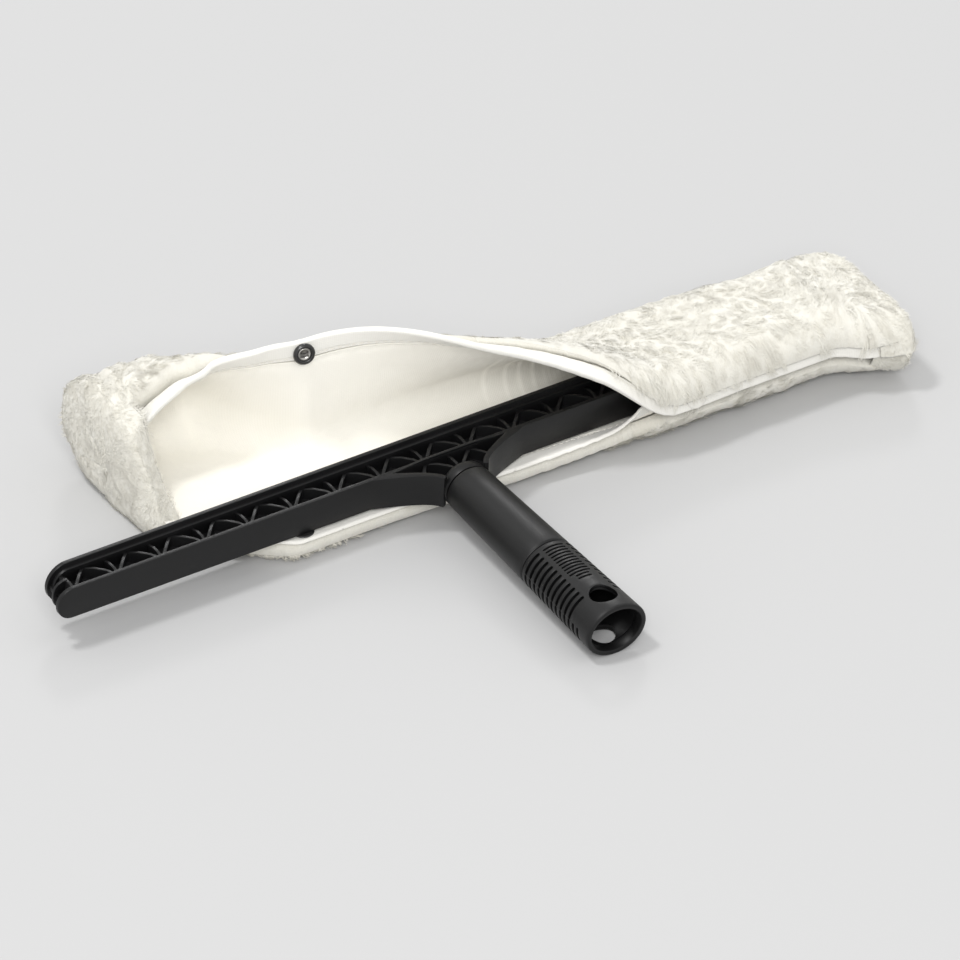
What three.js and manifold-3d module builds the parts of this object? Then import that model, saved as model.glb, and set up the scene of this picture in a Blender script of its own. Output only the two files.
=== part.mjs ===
// Window washer: a moulded T-bar with a tubular handle, and a plush sleeve with a canvas lining that is
// half drawn off the bar. Millimetres, +Z up, X along the bar, the handle points to -Y.
import * as THREE from "three";
import { mergeVertices } from "three/addons/utils/BufferGeometryUtils.js";
import Module from "manifold-3d";

const wasm = await Module();
wasm.setup();

// ---------- driving dimensions ----------
const BAR_HALF = 178; // half length of the bar's front wall
const BACK_HALF = 175; // half length of the taller back wall
const BAR_WIDTH = 14.5; // outside of front wall to outside of back wall
const FRONT_HALF_HEIGHT = 6.95;
const BACK_HALF_HEIGHT = 9;
const WALL = 1.7;
const LEDGE_WALL = 1.6; // the back wall's inner ledge
const WEB = 1.6; // the mid-height web
const RIB = 1.2;
const NODE_PITCH = 20; // truss nodes along the front wall
const NODES_EACH_SIDE = 9;
const RIB_END_HEIGHT = 4.9;
const RIB_MID_HEIGHT = 6.3;
const CROSS_RIB_HEIGHT = 6.3; // the rib that carries the front wall's line past the neck
const FLARE_START = 32; // where the front wall leaves the bar towards the neck
const COLLAR_START = 9; // distances along the handle are measured from the front wall
const COLLAR_END = 14.4;
const COLLAR_RADIUS = 10;
const SPIGOT_END = 30;
const SPIGOT_RADIUS = 7.4;
const GRIP_START = 71;
const HANDLE_END = 120;
const HANDLE_X = [10.2, 13.6]; // half width of the oval handle at the neck and at the end
const HANDLE_Z = [9.7, 11.4]; // half height of the oval handle at the neck and at the end
const TUBE_WALL = 2.3;
const GRIP_WALL = 1;
const CLEARANCE = 0.3;
const COLLAR_BAND = 4.6; // plain band at the grip's open end
const HANGING_HOLE = { along: 109.5, radius: 5.6, patch: 9.4 };
const SLOT = { pitch: 3.2, width: 1.5, count: 13, first: 74, arc: 50, columns: [34, 146, 202, 338] };
const FINE_SLOT = { pitch: 1.9, width: 0.9, count: 13, first: 74, arc: 46, lastArc: 30 };
const PITCH = THREE.MathUtils.degToRad(3.6); // the bar lies on the sleeve, the handle's rim on the floor
const PILE_UNDER = 8.9; // plush below the bar
const PILE_OVER = 6; // plush behind and above the bar
const LINING = 1;
const HALF_GAP = 0.25;
const HEM_WIDTH = 8;
const HEM_IN = 1.5; // hem tape's reach inside and outside the joint between plush and lining
const HEM_OUT = 1.4;
const SEAM = HALF_GAP * 2;
const SNAP_RADIUS = 4.5;
const SNAP_IN = 5; // how far a snap's centre is from its hem's edge
const SNAP_GAP = 0.6; // between a snap's flange and the cloth
const SLEEVE_STEP = 9.5;
const AROUND = 28; // facets round the handle
const GRIP_AROUND = 20; // facets round the slotted grip

// ---------- materials ----------
const surface = (color, roughness, metalness = 0) =>
  new THREE.MeshStandardMaterial({ color, roughness, metalness });
const BLACK_PLASTIC = 0x26272a;
const CREAM_PLUSH = 0xece8da;
const CANVAS = 0xe9e4d2;
const BLACK_ENAMEL = 0x151515;
const STEEL = 0xb9b6ae;

// ---------- solids ----------
function facesOut(geometry) {
  const p = geometry.attributes.position;
  const index = geometry.index.array;
  const [a, b, c] = [new THREE.Vector3(), new THREE.Vector3(), new THREE.Vector3()];
  let volume = 0;
  for (let i = 0; i < index.length; i += 3) {
    a.fromBufferAttribute(p, index[i]);
    b.fromBufferAttribute(p, index[i + 1]);
    c.fromBufferAttribute(p, index[i + 2]);
    volume += a.dot(b.cross(c));
  }
  if (volume < 0) {
    for (let i = 0; i < index.length; i += 3) [index[i], index[i + 1]] = [index[i + 1], index[i]];
  }
  return geometry;
}

function closed(geometry) {
  geometry.deleteAttribute("normal");
  geometry.deleteAttribute("uv");
  return facesOut(mergeVertices(geometry, 1e-4));
}

function solid(geometry) {
  const g = closed(geometry);
  const mesh = new wasm.Mesh({
    numProp: 3,
    vertProperties: new Float32Array(g.attributes.position.array),
    triVerts: new Uint32Array(g.index.array),
  });
  mesh.merge();
  return new wasm.Manifold(mesh);
}

function geometryOf(body) {
  const mesh = body.getMesh();
  const geometry = new THREE.BufferGeometry();
  geometry.setAttribute("position", new THREE.BufferAttribute(new Float32Array(mesh.vertProperties), 3));
  geometry.setIndex(Array.from(mesh.triVerts));
  geometry.computeVertexNormals();
  return geometry;
}

const join = (bodies) => bodies.reduce((sum, body) => sum.add(body));

function block(x, y, z) {
  const g = new THREE.BoxGeometry(x[1] - x[0], y[1] - y[0], z[1] - z[0]);
  return g.translate((x[0] + x[1]) / 2, (y[0] + y[1]) / 2, (z[0] + z[1]) / 2);
}

// A round-ended plate standing along X, from y0 to y1.
function standingPlate(halfLength, halfHeight, y0, y1) {
  const shape = new THREE.Shape();
  const straight = halfLength - halfHeight;
  shape.moveTo(-straight, -halfHeight);
  shape.lineTo(straight, -halfHeight);
  shape.absarc(straight, 0, halfHeight, -Math.PI / 2, Math.PI / 2);
  shape.lineTo(-straight, halfHeight);
  shape.absarc(-straight, 0, halfHeight, Math.PI / 2, (3 * Math.PI) / 2);
  const g = new THREE.ExtrudeGeometry(shape, { depth: y1 - y0, bevelEnabled: false, curveSegments: 9 });
  return g.rotateX(Math.PI / 2).translate(0, y1, 0);
}

// A flat plate lying in the bar's mid-plane.
function lyingPlate(shape, thickness) {
  const g = new THREE.ExtrudeGeometry(shape, { depth: thickness, bevelEnabled: false, curveSegments: 6 });
  return g.translate(0, 0, -thickness / 2);
}

// A standing rib from one plan point to another, its top and bottom edges arched.
function rib(from, to, endHeight = RIB_END_HEIGHT, midHeight = RIB_MID_HEIGHT, midDepth = midHeight) {
  const length = Math.hypot(to[0] - from[0], to[1] - from[1]);
  const [above, below] = [2 * midHeight - endHeight, 2 * midDepth - endHeight];
  const shape = new THREE.Shape();
  shape.moveTo(0, -endHeight);
  shape.quadraticCurveTo(length / 2, -below, length, -endHeight);
  shape.lineTo(length, endHeight);
  shape.quadraticCurveTo(length / 2, above, 0, endHeight);
  const g = new THREE.ExtrudeGeometry(shape, { depth: RIB, bevelEnabled: false, curveSegments: 3 });
  g.translate(0, 0, -RIB / 2);
  const along = new THREE.Vector3((to[0] - from[0]) / length, (to[1] - from[1]) / length, 0);
  const up = new THREE.Vector3(0, 0, 1);
  g.applyMatrix4(new THREE.Matrix4().makeBasis(along, up, new THREE.Vector3().crossVectors(along, up)));
  return g.translate(from[0], from[1], 0);
}

// ---------- T-bar frame ----------
function flareWall(side) {
  const shape = new THREE.Shape();
  shape.moveTo(side * (FLARE_START + 3), 0);
  shape.bezierCurveTo(side * 25, -3.6, side * 12, -8, side * 10.2, -COLLAR_START - 4);
  shape.lineTo(side * 8.4, -COLLAR_START - 3);
  shape.bezierCurveTo(side * 10.4, -6.6, side * 23, -1.6, side * (FLARE_START - 3), WALL);
  const g = new THREE.ExtrudeGeometry(shape, {
    depth: 2 * FRONT_HALF_HEIGHT,
    bevelEnabled: false,
    curveSegments: 8,
  });
  return g.translate(0, 0, -FRONT_HALF_HEIGHT);
}

function flareWeb() {
  const shape = new THREE.Shape();
  shape.moveTo(-FLARE_START, 0.5);
  shape.lineTo(FLARE_START, 0.5);
  shape.bezierCurveTo(24, -2.8, 11.6, -7.4, 9.6, -COLLAR_START - 2);
  shape.lineTo(-9.6, -COLLAR_START - 2);
  shape.bezierCurveTo(-11.6, -7.4, -24, -2.8, -FLARE_START, 0.5);
  return lyingPlate(shape, WEB);
}

function collarAndSpigot() {
  const profile = [
    [0, -COLLAR_START],
    [COLLAR_RADIUS - 1.2, -COLLAR_START],
    [COLLAR_RADIUS - 0.3, -COLLAR_START - 1],
    [COLLAR_RADIUS, -COLLAR_START - 2.4],
    [COLLAR_RADIUS, -COLLAR_END],
    [SPIGOT_RADIUS, -COLLAR_END],
    [SPIGOT_RADIUS, -SPIGOT_END],
    [0, -SPIGOT_END],
  ];
  const g = new THREE.LatheGeometry(profile.map(([r, y]) => new THREE.Vector2(r, y)), AROUND);
  return g.scale(1, 1, HANDLE_Z[0] / HANDLE_X[0]);
}

// The quarter-round fin that runs down from the last rib to the web's edge.
function endFin(side) {
  const first = side * (NODE_PITCH * NODES_EACH_SIDE - NODE_PITCH / 2);
  const reach = side * 6;
  const shape = new THREE.Shape();
  shape.moveTo(0, -RIB_MID_HEIGHT);
  shape.quadraticCurveTo(reach, -RIB_MID_HEIGHT, reach, 0);
  shape.quadraticCurveTo(reach, RIB_MID_HEIGHT, 0, RIB_MID_HEIGHT);
  const g = new THREE.ExtrudeGeometry(shape, { depth: RIB, bevelEnabled: false, curveSegments: 5 });
  return g.rotateX(Math.PI / 2).translate(first, BAR_WIDTH / 2 + RIB / 2, 0);
}

function tbarFrame() {
  const inside = BAR_WIDTH - WALL - LEDGE_WALL + 0.4; // ribs sink a little into the ledge
  const bodies = [
    standingPlate(BAR_HALF, FRONT_HALF_HEIGHT, 0, WALL),
    standingPlate(BACK_HALF, BACK_HALF_HEIGHT, BAR_WIDTH - WALL, BAR_WIDTH),
    standingPlate(BACK_HALF - 2, FRONT_HALF_HEIGHT, BAR_WIDTH - WALL - LEDGE_WALL, BAR_WIDTH - WALL + 0.2),
    block([-BACK_HALF + 1, BACK_HALF - 1], [WALL - 0.2, BAR_WIDTH - WALL], [-WEB / 2, WEB / 2]),
    flareWeb(),
    flareWall(1),
    flareWall(-1),
    collarAndSpigot(),
    rib([-FLARE_START, WALL / 2], [FLARE_START, WALL / 2],
      CROSS_RIB_HEIGHT, CROSS_RIB_HEIGHT + 1.6, CROSS_RIB_HEIGHT),
    rib([0, WALL], [0, -COLLAR_START - 0.6]),
    endFin(1),
    endFin(-1),
  ];
  for (const side of [-1, 1]) {
    bodies.push(rib([(side * NODE_PITCH) / 2, WALL / 2], [0, -COLLAR_START - 0.4]));
    bodies.push(rib([(side * NODE_PITCH) / 2, WALL / 2], [side * 15, -5.6], RIB_END_HEIGHT, 5.4));
    for (let i = 0; i < NODES_EACH_SIDE; i++) {
      const node = side * (i + 0.5) * NODE_PITCH;
      bodies.push(rib([node, WALL / 2], [node, inside]));
      bodies.push(rib([node, WALL / 2], [node - (side * NODE_PITCH) / 2, inside]));
      const outer = node + (side * NODE_PITCH) / 2;
      if (Math.abs(outer) < BACK_HALF) bodies.push(rib([node, WALL / 2], [outer, inside]));
    }
  }
  return geometryOf(join(bodies.map(solid)));
}

// ---------- handle ----------
const handleShare = (along) => THREE.MathUtils.clamp((along - COLLAR_END) / (HANDLE_END - COLLAR_END), 0, 1);
const halfWidth = (along) => THREE.MathUtils.lerp(...HANDLE_X, handleShare(along));
const halfHeight = (along) => THREE.MathUtils.lerp(...HANDLE_Z, handleShare(along));

// A closed ring of the oval handle: profile points are [distance along, depth below the outside].
function handleRing(profile, around = AROUND) {
  const points = profile.map(([along, depth]) => new THREE.Vector2(halfWidth(along) - depth, -along));
  points.push(points[0].clone());
  const g = new THREE.LatheGeometry(points, around);
  const p = g.attributes.position;
  for (let i = 0; i < p.count; i++) {
    const along = -p.getY(i);
    const depth = halfWidth(along) - Math.hypot(p.getX(i), p.getZ(i));
    const squash = (halfHeight(along) - depth) / (halfWidth(along) - depth);
    p.setZ(i, p.getZ(i) * squash);
  }
  return g;
}

function handleTube() {
  const start = COLLAR_END + CLEARANCE;
  const step = GRIP_WALL + CLEARANCE;
  const end = HANDLE_END - COLLAR_BAND - CLEARANCE;
  const ring = solid(handleRing([
    [start, 0.5], [start + 1, 0], [40, 0], [GRIP_START - 0.5, 0], [GRIP_START - 0.5, step],
    [end, step], [end, TUBE_WALL], [GRIP_START, TUBE_WALL], [40, TUBE_WALL], [start, TUBE_WALL],
  ]));
  return geometryOf(ring.subtract(hangingHole(HANGING_HOLE.radius)));
}

function hangingHole(radius) {
  const g = new THREE.CylinderGeometry(radius, radius, 30, 28);
  return solid(g.rotateX(Math.PI / 2).translate(0, -HANGING_HOLE.along, 15));
}

// One slot through the grip's wall, centred at an angle round the handle.
function slot(along, angle, width, arc) {
  const length = (arc / 360) * Math.PI * (halfWidth(along) + halfHeight(along));
  const radial = 5;
  const g = new THREE.BoxGeometry(length, width, radial);
  const turn = THREE.MathUtils.degToRad(angle);
  const out = new THREE.Vector3(Math.cos(turn) * halfWidth(along), 0, Math.sin(turn) * halfHeight(along));
  const normal = new THREE.Vector3(Math.cos(turn) / halfWidth(along), 0, Math.sin(turn) / halfHeight(along));
  g.rotateY(Math.atan2(normal.x, normal.z));
  return g.translate(out.x, -along, out.z);
}

function gripSleeve() {
  const end = HANDLE_END - COLLAR_BAND;
  const shell = solid(handleRing([
    [GRIP_START, 0.3], [GRIP_START + 0.6, 0], [92, 0], [HANDLE_END - 0.8, 0], [HANDLE_END - 0.2, 0.25],
    [HANDLE_END, 0.7], [HANDLE_END, TUBE_WALL], [end, TUBE_WALL], [end, GRIP_WALL], [92, GRIP_WALL],
    [GRIP_START, GRIP_WALL],
  ], GRIP_AROUND));
  const slots = [];
  for (const angle of SLOT.columns) {
    for (let i = 0; i < SLOT.count; i++) {
      slots.push(solid(slot(SLOT.first + i * SLOT.pitch, angle, SLOT.width, SLOT.arc)));
    }
  }
  for (let i = 0; i < FINE_SLOT.count; i++) {
    const arc = i < FINE_SLOT.count - 2 ? FINE_SLOT.arc : FINE_SLOT.lastArc;
    slots.push(solid(slot(FINE_SLOT.first + i * FINE_SLOT.pitch, 90, FINE_SLOT.width, arc)));
  }
  const cut = join(slots).subtract(hangingHole(HANGING_HOLE.patch));
  return geometryOf(shell.subtract(cut).subtract(hangingHole(HANGING_HOLE.radius)));
}

// ---------- sleeve ----------
// Each station is one cross-section of the sleeve: (y, z) is where the flat run under the bar begins, before
// of it the cloth rises to the lower hem, and behind it come the back fold, the run up or over the bar, the
// front turn down and the tail.
const STATION_KEYS = ["x", "y", "z", "rise", "turn", "lower", "fold", "folded", "upper", "close", "tail"];
const STATIONS = [
  [196, -14, 9.2, 50, 9, 41, 26, 180, 42, 78, 3],
  [184, -5, 9.1, 80, 19, 33, 29, 180, 39, 84, 5],
  [168, 3, 9.1, 86, 21, 20, 33.4, 180, 25.6, 86, 7],
  [98, 3, 9.1, 86, 21, 25, 33.4, 180, 31.2, 86, 7],
  [66, 6, 9.1, 20, 14, 22, 30, 154, 26, 58, 5],
  [32, 7, 9.1, 3, 12, 24, 27, 128, 24, 42, 3],
  [-30, 10, 9.1, 0, 12, 27, 20, 84, 22, -3, 3],
  [-48, 10, 9.1, 0, 12, 44, 25, 104, 16, -3, 3],
  [-67, 10, 9.1, 0, 12, 60, 37, 134, 7, -3, 3],
  [-78, 17, 9.1, 0, 12, 58, 43, 150, 5, 2, 2],
  [-91, 28, 9.1, 0, 12, 54, 41, 162, 8, 6, 2],
  [-106, 44, 9.2, 14, 10, 43, 37, 174, 12, 30, 2],
  [-121, 52, 9.3, 30, 9, 33, 32, 180, 17, 60, 2],
].map((row) => Object.fromEntries(row.map((value, i) => [STATION_KEYS[i], value])));
const FRONT_TURN = 13; // length of the cloth that turns down at the front of the upper flap
const RIGHT_END = STATIONS[0].x;
const LEFT_END = STATIONS[STATIONS.length - 1].x;

// Smooth values between stations, without overshoot.
function between(x, key) {
  const list = STATIONS;
  let i = 0;
  while (i < list.length - 2 && x < list[i + 1].x) i++;
  const slopeAt = (k) => (list[k + 1][key] - list[k][key]) / (list[k + 1].x - list[k].x);
  const tangent = (k) => {
    if (k === 0) return slopeAt(0);
    if (k === list.length - 1) return slopeAt(k - 1);
    const [a, b] = [slopeAt(k - 1), slopeAt(k)];
    return a * b <= 0 ? 0 : (2 * a * b) / (a + b);
  };
  const span = list[i + 1].x - list[i].x;
  const t = (x - list[i].x) / span;
  const [t2, t3] = [t * t, t * t * t];
  return (2 * t3 - 3 * t2 + 1) * list[i][key] + (t3 - 2 * t2 + t) * span * tangent(i)
    + (3 * t2 - 2 * t3) * list[i + 1][key] + (t3 - t2) * span * tangent(i + 1);
}

// The cross-section at x as a walk along the cloth: each sample holds its length, place and heading.
const sections = new Map();
function section(x) {
  if (sections.has(x)) return sections.get(x);
  const v = {};
  for (const key of Object.keys(STATIONS[0])) v[key] = key === "x" ? x : between(x, key);
  const foldAt = v.turn + v.lower;
  const closeAt = foldAt + v.fold + v.upper;
  const width = closeAt + FRONT_TURN + v.tail;
  const straightHem = Math.min(1, v.rise / 86) * HEM_WIDTH;
  const ease = (s, a, b) => THREE.MathUtils.clamp((s - a) / (b - a), 0, 1);
  const heading = (s) => THREE.MathUtils.degToRad(
    -v.rise * (1 - ease(s, straightHem, v.turn)) + v.folded * ease(s, foldAt, foldAt + v.fold)
    + v.close * ease(s, closeAt, closeAt + FRONT_TURN));
  const step = 0.5;
  const walk = [{ s: 0, y: 0, z: 0, heading: heading(0) }];
  for (let s = 0; s < width; s += step) {
    const last = walk[walk.length - 1];
    const h = heading(s + step / 2);
    const [y, z] = [last.y + Math.cos(h) * step, last.z + Math.sin(h) * step];
    walk.push({ s: s + step, y, z, heading: heading(s + step) });
  }
  const flat = walk[Math.round(v.turn / step)];
  const [dy, dz] = [v.y - flat.y, v.z - flat.z];
  for (const sample of walk) {
    sample.y += dy;
    sample.z += dz;
  }
  const result = { width, walk, step };
  sections.set(x, result);
  return result;
}

// A point of the sleeve: s is the distance along the cloth from the lower hem, out is away from the bar.
function sleevePoint(x, s, out) {
  const { walk, step } = section(x);
  const i = Math.min(Math.floor(s / step), walk.length - 2);
  const t = s / step - i;
  const mix = (key) => THREE.MathUtils.lerp(walk[i][key], walk[i + 1][key], t);
  const h = mix("heading");
  return new THREE.Vector3(x, mix("y") + Math.sin(h) * out, mix("z") - Math.cos(h) * out);
}

function stationsBetween(from, to, step = SLEEVE_STEP) {
  const count = Math.round(Math.abs(to - from) / step);
  return Array.from({ length: count + 1 }, (_, i) => from + ((to - from) * i) / count);
}

// A closed shell between an inner and an outer grid of points.
function gridShell(inner, outer) {
  const [rows, columns] = [inner.length, inner[0].length];
  const positions = [...inner.flat(), ...outer.flat()].flatMap((p) => [p.x, p.y, p.z]);
  const at = (side, i, j) => side * rows * columns + i * columns + j;
  const index = [];
  const quad = (a, b, c, d) => index.push(a, b, c, a, c, d);
  for (let i = 0; i < rows - 1; i++) {
    for (let j = 0; j < columns - 1; j++) {
      quad(at(0, i, j), at(0, i, j + 1), at(0, i + 1, j + 1), at(0, i + 1, j));
      quad(at(1, i, j), at(1, i + 1, j), at(1, i + 1, j + 1), at(1, i, j + 1));
    }
    quad(at(0, i, 0), at(0, i + 1, 0), at(1, i + 1, 0), at(1, i, 0));
    quad(at(0, i, columns - 1), at(1, i, columns - 1), at(1, i + 1, columns - 1), at(0, i + 1, columns - 1));
  }
  for (let j = 0; j < columns - 1; j++) {
    quad(at(0, 0, j), at(1, 0, j), at(1, 0, j + 1), at(0, 0, j + 1));
    quad(at(0, rows - 1, j), at(0, rows - 1, j + 1), at(1, rows - 1, j + 1), at(1, rows - 1, j));
  }
  const g = new THREE.BufferGeometry();
  g.setAttribute("position", new THREE.Float32BufferAttribute(positions, 3));
  g.setIndex(index);
  return facesOut(g);
}

// A band of cloth: rows(x) are the distances along the cloth, low and high its two depths.
function band({ rows, low, high }) {
  const grid = (depth) => stationsBetween(RIGHT_END, LEFT_END).map((x) =>
    rows(x).map((s) => sleevePoint(x, s, depth(x, s))));
  return gridShell(grid(low), grid(high));
}

const even = (from, to, steps) =>
  Array.from({ length: steps + 1 }, (_, i) => from + ((to - from) * i) / steps);
const wrapped = (x) => THREE.MathUtils.clamp(between(x, "rise") / 60, 0, 1);
const pileStart = (x) => THREE.MathUtils.lerp(1.5, 12, wrapped(x));
const clothEnd = (x) => section(x).width - HEM_WIDTH - SEAM;
const pileEnd = (x) => clothEnd(x) - SEAM;
// Lining and plush share these rows, so that their facets run side by side.
const sharedRows = (x) => [14, 17.5, ...even(21, clothEnd(x), 11).slice(0, 11)];

function pileDepth(x, s) {
  const foldAt = between(x, "turn") + between(x, "lower");
  const over = THREE.MathUtils.smoothstep(s, foldAt - 8, foldAt + 14);
  const edge = Math.min(s - pileStart(x), pileEnd(x) - s);
  const rounding = Math.sqrt(1 - (1 - Math.min(1, 0.35 + Math.max(0, edge) / 12)) ** 2);
  return THREE.MathUtils.lerp(PILE_UNDER, PILE_OVER, over) * rounding;
}

const plushShell = () => band({
  rows: (x) => [...even(pileStart(x), 14, 2).slice(0, 2), ...sharedRows(x), pileEnd(x)],
  low: () => HALF_GAP,
  high: pileDepth,
});

const canvasLining = () => band({
  rows: (x) => [HEM_WIDTH + SEAM, 11, ...sharedRows(x), clothEnd(x)],
  low: () => -HALF_GAP - LINING,
  high: () => -HALF_GAP,
});

const lowerHem = () => band({
  rows: () => even(0, HEM_WIDTH, 2),
  low: () => -HEM_IN,
  high: () => -HALF_GAP,
});

const upperHem = () => band({
  rows: (x) => even(section(x).width - HEM_WIDTH, section(x).width, 2),
  low: () => -HEM_IN,
  high: () => HEM_OUT,
});

// The sewn plush that closes one end of the sleeve, a domed cap over the last cross-section.
function endClosure(x, outward) {
  const { width } = section(x);
  const outline = Array.from({ length: 17 }, (_, j) => {
    const s = THREE.MathUtils.lerp(pileStart(x), pileEnd(x), j / 16);
    return sleevePoint(x, s, pileDepth(x, s) * 0.96);
  });
  outline.push(sleevePoint(x, width - 4, HEM_OUT));
  const centre = outline.reduce((sum, p) => sum.add(p), new THREE.Vector3()).divideScalar(outline.length);
  const rings = [[CLEARANCE, 1], [2.6, 0.97], [4.8, 0.86], [6.4, 0.62]];
  const positions = [];
  for (const [reach, scale] of rings) {
    for (const p of outline) {
      positions.push(x + outward * reach, centre.y + (p.y - centre.y) * scale,
        Math.max(0.1, centre.z + (p.z - centre.z) * scale));
    }
  }
  const n = outline.length;
  positions.push(x + outward * CLEARANCE, centre.y, centre.z, x + outward * 6.9, centre.y, centre.z);
  const index = [];
  for (let j = 0; j < n; j++) {
    const k = (j + 1) % n;
    for (let i = 0; i < rings.length - 1; i++) {
      index.push(i * n + j, i * n + k, (i + 1) * n + k, i * n + j, (i + 1) * n + k, (i + 1) * n + j);
    }
    index.push(rings.length * n, k, j);
    index.push(rings.length * n + 1, (rings.length - 1) * n + j, (rings.length - 1) * n + k);
  }
  const g = new THREE.BufferGeometry();
  g.setAttribute("position", new THREE.Float32BufferAttribute(positions, 3));
  g.setIndex(index);
  return facesOut(g);
}

// ---------- snaps ----------
// Profiles are [radius, height] with the cloth at height 0 and the piece standing up from it.
const SNAP_FACETS = 12;
function lathe(profile) {
  const points = profile.map(([r, h]) => new THREE.Vector2(r, h));
  return closed(new THREE.LatheGeometry(points, SNAP_FACETS).rotateX(Math.PI / 2));
}
const BARREL = 1.4;
const SNAP_HOLE = 1.8;
const CLOTH = HEM_IN + HEM_OUT; // what a barrel has to cross on the upper hem

const socketShell = () => lathe([
  [SNAP_HOLE, 0], [SNAP_RADIUS - 0.3, 0], [SNAP_RADIUS, 0.4], [SNAP_RADIUS - 0.2, 1.3],
  [SNAP_RADIUS - 1, 1.8], [3.1, 1.8], [2.75, 1.4], [2.75, 0.6], [SNAP_HOLE, 0.6], [SNAP_HOLE, 0],
]);
const socketSpring = () => lathe([[1.95, 0.9], [2.4, 0.9], [2.4, 1.3], [1.95, 1.3], [1.95, 0.9]]);
const socketCap = () => lathe([
  [0, 1.3], [SNAP_RADIUS - 1.4, 1.1], [SNAP_RADIUS, 0.3], [SNAP_RADIUS, 0], [BARREL, 0],
  [BARREL, -CLOTH - 2 * SNAP_GAP], [0, -CLOTH - 2 * SNAP_GAP],
]);
const stud = () => lathe([
  [SNAP_HOLE, 0], [SNAP_RADIUS - 0.4, 0], [SNAP_RADIUS - 0.4, 0.5], [1.9, 0.7], [1.55, 1.1], [1.6, 1.7],
  [1.3, 2], [0, 2], [0, 0.5], [SNAP_HOLE, 0.5], [SNAP_HOLE, 0],
]);
const studPost = () => lathe([
  [0, 0.7], [SNAP_RADIUS - 1.2, 0.6], [SNAP_RADIUS, 0.2], [SNAP_RADIUS, 0], [BARREL, 0],
  [BARREL, -HEM_IN - SNAP_GAP + 0.2], [0, -HEM_IN - SNAP_GAP + 0.2],
]);

// Where the snaps are along each hem, as distances from the lower hem's edge.
const onLowerHem = () => SNAP_IN;
const onUpperHem = (x) => section(x).width - SNAP_IN;

// The place of a snap piece on the cloth: facing is +1 for the plush side and -1 for the lining side.
function onCloth(x, hem, depth, facing) {
  const along = sleevePoint(x + 1, hem(x + 1), 0).sub(sleevePoint(x - 1, hem(x - 1), 0)).normalize();
  const across = sleevePoint(x, hem(x) + 1, 0).sub(sleevePoint(x, hem(x) - 1, 0)).normalize();
  const out = new THREE.Vector3().crossVectors(across, along).normalize();
  if (out.dot(sleevePoint(x, hem(x), 1).sub(sleevePoint(x, hem(x), 0))) < 0) out.negate();
  const place = sleevePoint(x, hem(x), 0).addScaledVector(out, depth);
  out.multiplyScalar(facing);
  const side = new THREE.Vector3().crossVectors(out, along);
  return new THREE.Matrix4().makeBasis(along, side, out).setPosition(place);
}

const SNAPS = [
  { name: "left", upperX: -32, lowerX: -64.6 },
  { name: "right", upperX: 106, lowerX: 106 },
];

function snapPieces() {
  const pieces = [];
  for (const { name, upperX, lowerX } of SNAPS) {
    const inside = onCloth(upperX, onUpperHem, -HEM_IN - SNAP_GAP, -1);
    const outside = onCloth(upperX, onUpperHem, HEM_OUT + SNAP_GAP, 1);
    const lining = onCloth(lowerX, onLowerHem, -HEM_IN - SNAP_GAP, -1);
    const under = onCloth(lowerX, onLowerHem, CLEARANCE, 1);
    pieces.push([`${name}_snap_socket`, socketShell(), inside, surface(BLACK_ENAMEL, 0.35, 0.4)]);
    pieces.push([`${name}_snap_spring`, socketSpring(), inside, surface(STEEL, 0.3, 1)]);
    pieces.push([`${name}_snap_cap`, socketCap(), outside, surface(CANVAS, 0.85)]);
    pieces.push([`${name}_snap_stud`, stud(), under, surface(STEEL, 0.3, 1)]);
    pieces.push([`${name}_snap_post`, studPost(), lining, surface(BLACK_ENAMEL, 0.35, 0.4)]);
  }
  return pieces;
}

// A cylinder standing across the cloth, to clear a snap.
function snapHole(x, hem, radius, low, high) {
  const g = new THREE.CylinderGeometry(radius, radius, high - low, 16);
  g.rotateX(Math.PI / 2).translate(0, 0, (low + high) / 2);
  return solid(g.applyMatrix4(onCloth(x, hem, 0, 1)));
}

const pierce = (geometry, holes) =>
  geometryOf(holes.reduce((body, hole) => body.subtract(hole), solid(geometry)));

// ---------- assembly ----------
const object = new THREE.Group();

function place(name, geometry, material, matrix, parent = object) {
  const mesh = new THREE.Mesh(geometry, material);
  mesh.name = name;
  if (matrix) mesh.applyMatrix4(matrix);
  parent.add(mesh);
}

const tbar = new THREE.Group();
tbar.rotation.x = PITCH;
tbar.position.z = HANDLE_END * Math.sin(PITCH) + HANDLE_Z[1] * Math.cos(PITCH);
object.add(tbar);
place("tbar_frame", tbarFrame(), surface(BLACK_PLASTIC, 0.5), null, tbar);
place("handle_tube", handleTube(), surface(BLACK_PLASTIC, 0.45), null, tbar);
place("grip_sleeve", gripSleeve(), surface(BLACK_PLASTIC, 0.5), null, tbar);

const upperHoles = SNAPS.map(({ upperX }) =>
  snapHole(upperX, onUpperHem, SNAP_HOLE, -HEM_IN - 1, HEM_OUT + 1));
const lowerHoles = SNAPS.map(({ lowerX }) => snapHole(lowerX, onLowerHem, SNAP_HOLE, -HEM_IN - 1, 1));
const studRoom = SNAPS.map(({ lowerX }) => snapHole(lowerX, onLowerHem, SNAP_RADIUS + 0.6, -0.5, 3.4));
const capRoom = SNAPS.map(({ upperX }) => snapHole(upperX, onUpperHem, SNAP_RADIUS + 0.6, 0, 9));
place("plush_cover", pierce(plushShell(), [...studRoom, ...capRoom]), surface(CREAM_PLUSH, 1));
place("canvas_lining", canvasLining(), surface(CANVAS, 0.9));
place("upper_hem", pierce(upperHem(), upperHoles), surface(CANVAS, 0.85));
place("lower_hem", pierce(lowerHem(), lowerHoles), surface(CANVAS, 0.85));
place("right_end_closure", endClosure(RIGHT_END, 1), surface(CREAM_PLUSH, 1));
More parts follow.
